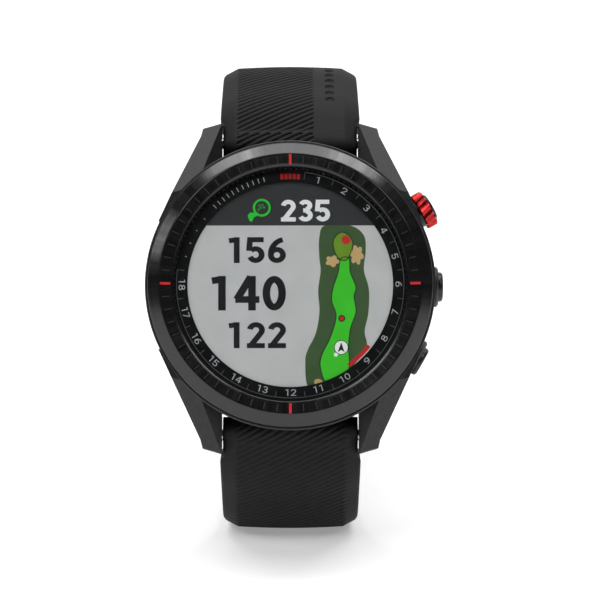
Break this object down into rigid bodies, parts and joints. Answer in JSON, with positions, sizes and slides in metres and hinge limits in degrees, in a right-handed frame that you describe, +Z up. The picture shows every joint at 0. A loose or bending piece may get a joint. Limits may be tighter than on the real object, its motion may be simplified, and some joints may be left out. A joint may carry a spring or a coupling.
{
  "type": "golf gps watch",
  "caption": "Round sports watch with a golf hole map on its dial, side buttons, and an open silicone strap with buckle and quick-release ends.",
  "frame": {"origin": "middle of the flat foot of the lower strap half, on the surface the watch stands on", "axes": "+Z up from the foot, -Y the way the dial faces, +X toward the side with the buttons"},
  "size_m": [0.0483, 0.0884, 0.0747],
  "materials": {
    "case_polymer": "speckled matt",
    "ceramic": "polished",
    "marker_red": "satin",
    "adhesive": "matt",
    "glass": "clear",
    "seal": "matt",
    "ring_black": "satin",
    "film": "clear",
    "display": "low gloss",
    "backlight": "matt",
    "frame_plastic": "matt",
    "board": "solder mask",
    "chip": "matt",
    "shield": "satin",
    "cell": "wrapped",
    "motor": "satin",
    "copper": "plated",
    "flex": "film",
    "switch": "matt",
    "cover": "fine grain",
    "gold": "plated",
    "steel": "satin",
    "window": "polished",
    "led": "clear",
    "diode": "clear",
    "gunmetal": "anodised",
    "anodised_red": "anodised",
    "silicone": "soft matt",
    "buckle_metal": "bead blasted"
  },
  "bodies": {
    "case": {"case_shell": "case_polymer", "lug_pins": "steel", "bezel": "ceramic", "bezel_markers": "marker_red", "bezel_adhesive": "adhesive", "lens": "glass", "lens_gasket": "seal", "dial_ring": "ring_black", "touch_sensor": "film", "display_panel": "display", "backlight": "backlight", "display_holder": "frame_plastic", "main_board": "board", "board_chips": "chip", "shield_can": "shield", "battery": "cell", "vibration_motor": "motor", "antenna_ring": "copper", "display_flex": "flex", "button_flex": "flex", "tact_switches": "switch", "rear_cover": "cover", "charging_port": "ring_black", "charging_contacts": "gold", "rear_gasket": "seal", "rear_cover_screws": "steel", "sensor_window": "window", "sensor_board": "board", "sensor_leds": "led", "photodiodes": "diode"},
    "upper_strap": {"upper_strap": "silicone", "upper_clip": "steel", "buckle_bar": "steel"},
    "lower_strap": {"lower_strap": "silicone", "lower_clip": "steel"},
    "upper_latch": {"upper_latch": "gunmetal", "upper_latch_spring": "steel"},
    "lower_latch": {"lower_latch": "gunmetal", "lower_latch_spring": "steel"},
    "buckle": {"buckle_frame": "buckle_metal"},
    "tongue": {"buckle_tongue": "buckle_metal"},
    "keeper": {"keeper": "silicone"},
    "upper_button": {"upper_button": "gunmetal", "upper_button_seal": "seal", "upper_button_clip": "steel", "upper_button_spring": "steel", "upper_button_ring": "anodised_red"},
    "middle_button": {"middle_button": "gunmetal", "middle_button_seal": "seal", "middle_button_clip": "steel", "middle_button_spring": "steel"},
    "lower_button": {"lower_button": "gunmetal", "lower_button_seal": "seal", "lower_button_clip": "steel", "lower_button_spring": "steel"}
  },
  "joints": [
    {"name": "upper_button_press", "type": "slide", "parent": "case", "child": "upper_button", "axis": [-0.866, -0.171, -0.4698], "range_m": [0, 0.0006], "stiffness_N_per_m": 1500, "springref_m": -0.0002, "deforming": ["upper_button_spring"]},
    {"name": "middle_button_press", "type": "slide", "parent": "case", "child": "middle_button", "axis": [-1, 0, 0], "range_m": [0, 0.0006], "stiffness_N_per_m": 1500, "springref_m": -0.0002, "deforming": ["middle_button_spring"]},
    {"name": "lower_button_press", "type": "slide", "parent": "case", "child": "lower_button", "axis": [-0.866, 0.171, 0.4698], "range_m": [0, 0.0006], "stiffness_N_per_m": 1500, "springref_m": -0.0002, "deforming": ["lower_button_spring"]},
    {"name": "upper_strap_swing", "type": "hinge", "parent": "case", "child": "upper_strap", "pos_m": [0, -0.01654, 0.06517], "axis": [1, 0, 0], "range_deg": [0, 28]},
    {"name": "lower_strap_swing", "type": "hinge", "parent": "case", "child": "lower_strap", "pos_m": [0, -0.03295, 0.02007], "axis": [-1, 0, 0], "range_deg": [0, 28]},
    {"name": "upper_latch_slide", "type": "slide", "parent": "upper_strap", "child": "upper_latch", "axis": [0, 0.766, 0.6428], "range_m": [0, 0.0016], "stiffness_N_per_m": 400, "springref_m": -0.0005, "deforming": ["upper_latch_spring"]},
    {"name": "lower_latch_slide", "type": "slide", "parent": "lower_strap", "child": "lower_latch", "axis": [0, 0.1736, -0.9848], "range_m": [0, 0.0016], "stiffness_N_per_m": 400, "springref_m": -0.0005, "deforming": ["lower_latch_spring"]},
    {"name": "buckle_swing", "type": "hinge", "parent": "upper_strap", "child": "buckle", "pos_m": [0, 0.03177, 0.03596], "axis": [1, 0, 0], "range_deg": [-10, 30]},
    {"name": "tongue_swing", "type": "hinge", "parent": "buckle", "child": "tongue", "pos_m": [0, 0.03177, 0.03596], "axis": [1, 0, 0], "range_deg": [0, 60]},
    {"name": "keeper_slide", "type": "slide", "parent": "upper_strap", "child": "keeper", "axis": [0, 0.4226, -0.9063], "range_m": [-0.004, 0.003]}
  ]
}
